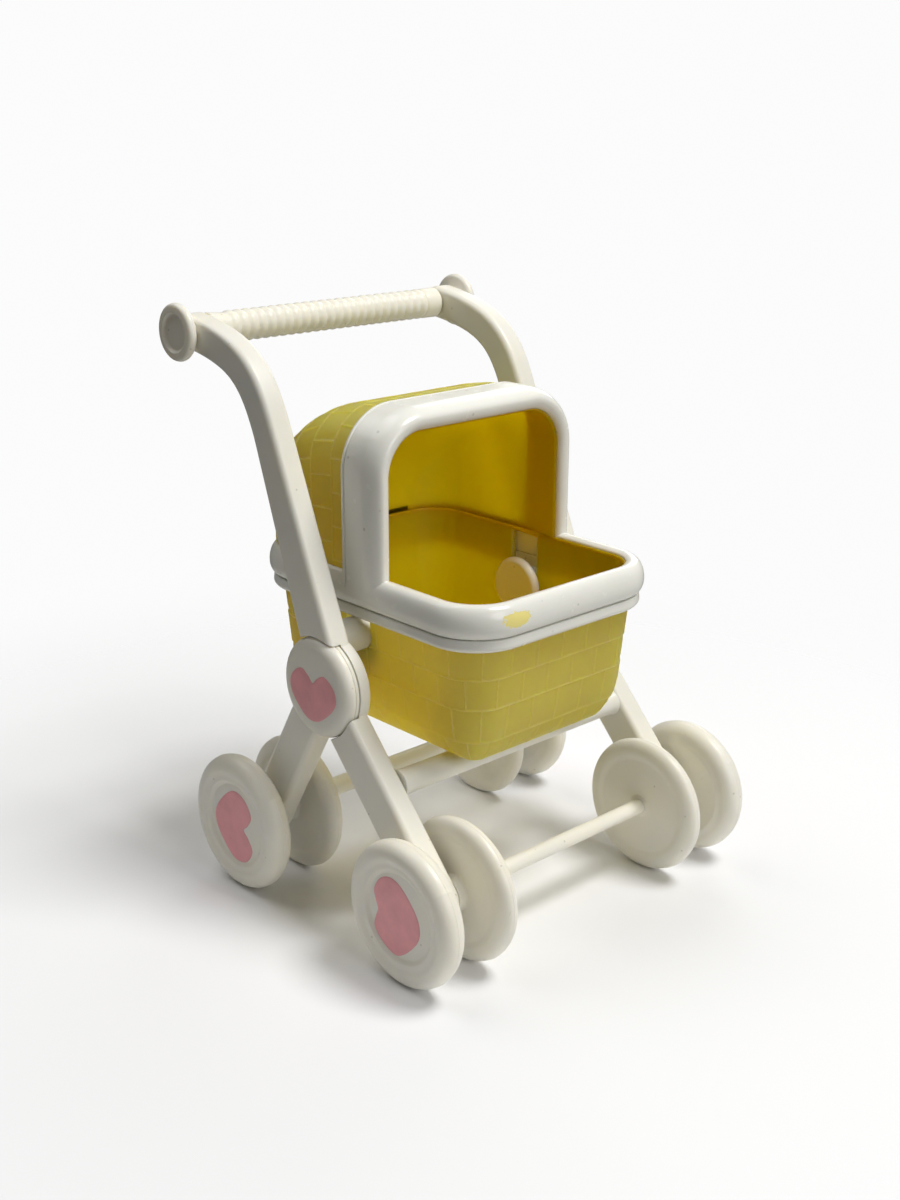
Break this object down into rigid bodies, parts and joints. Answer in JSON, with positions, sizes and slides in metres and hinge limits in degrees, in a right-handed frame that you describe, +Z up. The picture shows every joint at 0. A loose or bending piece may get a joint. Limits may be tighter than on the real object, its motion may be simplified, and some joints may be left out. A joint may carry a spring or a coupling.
{
  "type": "doll stroller",
  "caption": "Toy doll stroller: X-shaped side frames on paired wheels, ribbed push handle, and a hooded basket hung on pegs between the frames.",
  "frame": {"origin": "on the floor, under the axis of the hubs where the legs cross, midway between the sides", "axes": "+Z up, -Y towards the front, where the basket is open, +Y towards the handle, +X to the stroller's left side"},
  "size_m": [0.1028, 0.1078, 0.14],
  "materials": {
    "ivory_plastic": "satin moulded plastic, lightly scuffed",
    "white_paint": "gloss paint over moulded plastic, chipped at the edges",
    "yellow_plastic": "slightly translucent moulded plastic with a raised tile pattern",
    "pink_paint": "soft pink stamped paint, worn"
  },
  "bodies": {
    "frame": {"left_side_frame": "ivory_plastic", "right_side_frame": "ivory_plastic", "handle_bar": "ivory_plastic", "left_handle_knob": "ivory_plastic", "right_handle_knob": "ivory_plastic", "front_cross_bar": "ivory_plastic", "left_basket_peg": "ivory_plastic", "right_basket_peg": "ivory_plastic"},
    "rear_legs": {"left_rear_leg": "ivory_plastic", "right_rear_leg": "ivory_plastic", "left_hub_pin": "ivory_plastic", "right_hub_pin": "ivory_plastic"},
    "front_wheelset": {"front_axle": "ivory_plastic", "front_left_outer_wheel": "ivory_plastic", "front_left_inner_wheel": "ivory_plastic", "front_right_outer_wheel": "ivory_plastic", "front_right_inner_wheel": "ivory_plastic"},
    "rear_wheelset": {"rear_axle": "ivory_plastic", "rear_left_outer_wheel": "ivory_plastic", "rear_left_inner_wheel": "ivory_plastic", "rear_right_outer_wheel": "ivory_plastic", "rear_right_inner_wheel": "ivory_plastic"},
    "basket": {"basket_tub": "yellow_plastic", "basket_hood": "white_paint"}
  },
  "joints": [
    {"name": "front_wheelset_spin", "type": "hinge", "parent": "frame", "child": "front_wheelset", "pos_m": [0, -0.0369, 0.017], "axis": [1, 0, 0], "continuous": true},
    {"name": "rear_leg_fold", "type": "hinge", "parent": "frame", "child": "rear_legs", "pos_m": [0, 0, 0.0573], "axis": [-1, 0, 0], "range_deg": [0, 20]},
    {"name": "rear_wheelset_spin", "type": "hinge", "parent": "rear_legs", "child": "rear_wheelset", "pos_m": [0, 0.0234, 0.017], "axis": [1, 0, 0], "continuous": true},
    {"name": "basket_tilt", "type": "hinge", "parent": "frame", "child": "basket", "pos_m": [0, 0.0023, 0.0668], "axis": [-1, 0, 0], "range_deg": [0, 60]}
  ]
}
